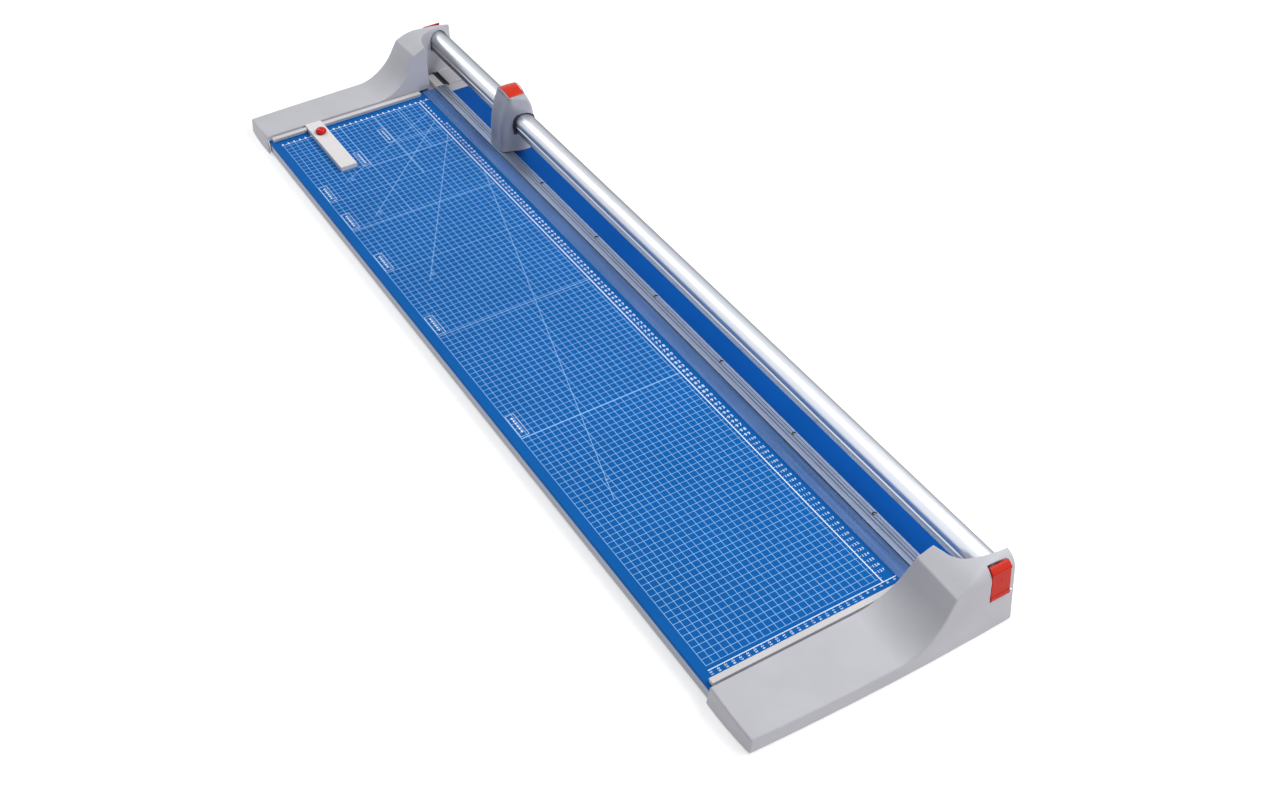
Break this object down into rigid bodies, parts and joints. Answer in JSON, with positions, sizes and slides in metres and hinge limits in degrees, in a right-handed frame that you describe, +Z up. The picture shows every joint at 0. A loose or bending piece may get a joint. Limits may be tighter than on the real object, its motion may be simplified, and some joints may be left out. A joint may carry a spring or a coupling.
{
  "type": "rotary paper trimmer",
  "caption": "Long rotary paper trimmer: a ruled blue table between grey end caps, a guide rail over the cut, a sliding head with a round blade, a clear clamp strip and a sliding side stop.",
  "frame": {"origin": "on the desk, under the middle of the footprint", "axes": "+X runs along the cut towards the near end, +Y points from the open front edge to the guide rail, +Z is up"},
  "size_m": [1.4952, 0.371, 0.131],
  "materials": {
    "blue_print_sheet": "satin printed sheet",
    "painted_steel_panel": "satin",
    "zinc_steel": "zinc plated",
    "aluminium_trim": "satin anodised",
    "blue_painted_steel": "satin",
    "extruded_aluminium": "mill",
    "knife_steel": "ground",
    "screw_steel": "bright zinc",
    "cream_bar": "satin",
    "spring_steel": "bright",
    "black_plastic": "moulded",
    "rail_aluminium": "satin brushed",
    "turned_steel": "turned",
    "light_grey_plastic": "fine moulded texture",
    "black_rubber": "matte",
    "grooved_aluminium": "fine grooves",
    "clear_plastic": "clear",
    "head_grey_plastic": "fine moulded texture",
    "bush_plastic": "black acetal",
    "bearing_brass": "sintered",
    "blade_steel": "hardened and ground",
    "dark_plastic": "moulded",
    "red_orange_plastic": "moulded",
    "cream_plastic": "moulded",
    "red_plastic": "moulded"
  },
  "bodies": {
    "base": {"grid_sheet": "blue_print_sheet", "table_panel": "painted_steel_panel", "cross_members": "zinc_steel", "front_trim": "aluminium_trim", "waste_ledge": "blue_painted_steel", "knife_carrier": "extruded_aluminium", "knife_bar": "knife_steel", "knife_screws": "screw_steel", "far_stop_bar": "cream_bar", "near_stop_bar": "cream_bar", "stop_bar_screws": "screw_steel", "clamp_pins": "screw_steel", "clamp_springs": "spring_steel", "clamp_end_blocks": "black_plastic", "clamp_end_plates": "cream_plastic", "guide_rail": "rail_aluminium", "rail_end_plugs": "turned_steel", "far_end_cap": "light_grey_plastic", "near_end_cap": "light_grey_plastic", "far_end_frame": "zinc_steel", "near_end_frame": "zinc_steel", "frame_screws": "screw_steel", "cap_screws": "screw_steel", "latch_pins": "turned_steel", "rubber_feet": "black_rubber"},
    "clamp": {"clamp_track": "grooved_aluminium", "clamp_strip": "clear_plastic"},
    "head": {"head_shell_far": "head_grey_plastic", "head_shell_near": "head_grey_plastic", "head_screws": "screw_steel", "glide_bushes": "bush_plastic", "blade_carrier": "turned_steel", "blade_axle": "turned_steel", "axle_nut": "screw_steel", "blade_bearing": "bearing_brass", "spring_washer": "spring_steel", "roller_pins": "turned_steel", "button_spring": "spring_steel"},
    "blade": {"rotary_blade": "blade_steel", "blade_hub": "dark_plastic", "hub_rivets": "screw_steel"},
    "far_roller": {"far_press_roller": "dark_plastic"},
    "near_roller": {"near_press_roller": "dark_plastic"},
    "head_push_button": {"head_button": "red_orange_plastic"},
    "side_stop": {"side_stop_body": "cream_plastic", "side_stop_plate": "zinc_steel", "lock_spring": "spring_steel"},
    "side_stop_button": {"lock_button": "red_plastic"},
    "far_rail_latch": {"far_latch": "red_plastic"},
    "near_rail_latch": {"near_latch": "red_plastic"}
  },
  "joints": [
    {"name": "head_slide", "type": "slide", "parent": "base", "child": "head", "axis": [1, 0, 0], "range_m": [-0.234, 1.106]},
    {"name": "blade_spin", "type": "hinge", "parent": "head", "child": "blade", "pos_m": [-0.436, 0.1445, 0.0465], "axis": [0, 1, 0], "continuous": true},
    {"name": "far_roller_spin", "type": "hinge", "parent": "head", "child": "far_roller", "pos_m": [-0.448, 0.1292, 0.03325], "axis": [0, 1, 0], "continuous": true},
    {"name": "near_roller_spin", "type": "hinge", "parent": "head", "child": "near_roller", "pos_m": [-0.424, 0.1292, 0.03325], "axis": [0, 1, 0], "continuous": true},
    {"name": "head_button_press", "type": "slide", "parent": "head", "child": "head_push_button", "axis": [0, 0, -1], "range_m": [0, 0.002], "stiffness_N_per_m": 800, "deforming": ["button_spring"]},
    {"name": "clamp_press", "type": "slide", "parent": "base", "child": "clamp", "axis": [0, 0, -1], "range_m": [0, 0.0012], "stiffness_N_per_m": 4000, "deforming": ["clamp_springs"]},
    {"name": "side_stop_slide", "type": "slide", "parent": "base", "child": "side_stop", "axis": [0, 1, 0], "range_m": [-0.057, 0.178]},
    {"name": "side_stop_button_press", "type": "slide", "parent": "side_stop", "child": "side_stop_button", "axis": [0, 0, -1], "range_m": [0, 0.0016], "stiffness_N_per_m": 500, "deforming": ["lock_spring"]},
    {"name": "far_latch_flip", "type": "hinge", "parent": "base", "child": "far_rail_latch", "pos_m": [-0.7432, 0.1598, 0.0555], "axis": [0, -1, 0], "range_deg": [0, 30]},
    {"name": "near_latch_flip", "type": "hinge", "parent": "base", "child": "near_rail_latch", "pos_m": [0.7432, 0.1598, 0.0555], "axis": [0, 1, 0], "range_deg": [0, 30]}
  ],
  "couplings": [
    {"joint": "blade_spin", "follows": "head_slide", "rad_per_m": 41.667},
    {"joint": "far_roller_spin", "follows": "head_slide", "rad_per_m": 200},
    {"joint": "near_roller_spin", "follows": "head_slide", "rad_per_m": 200}
  ]
}
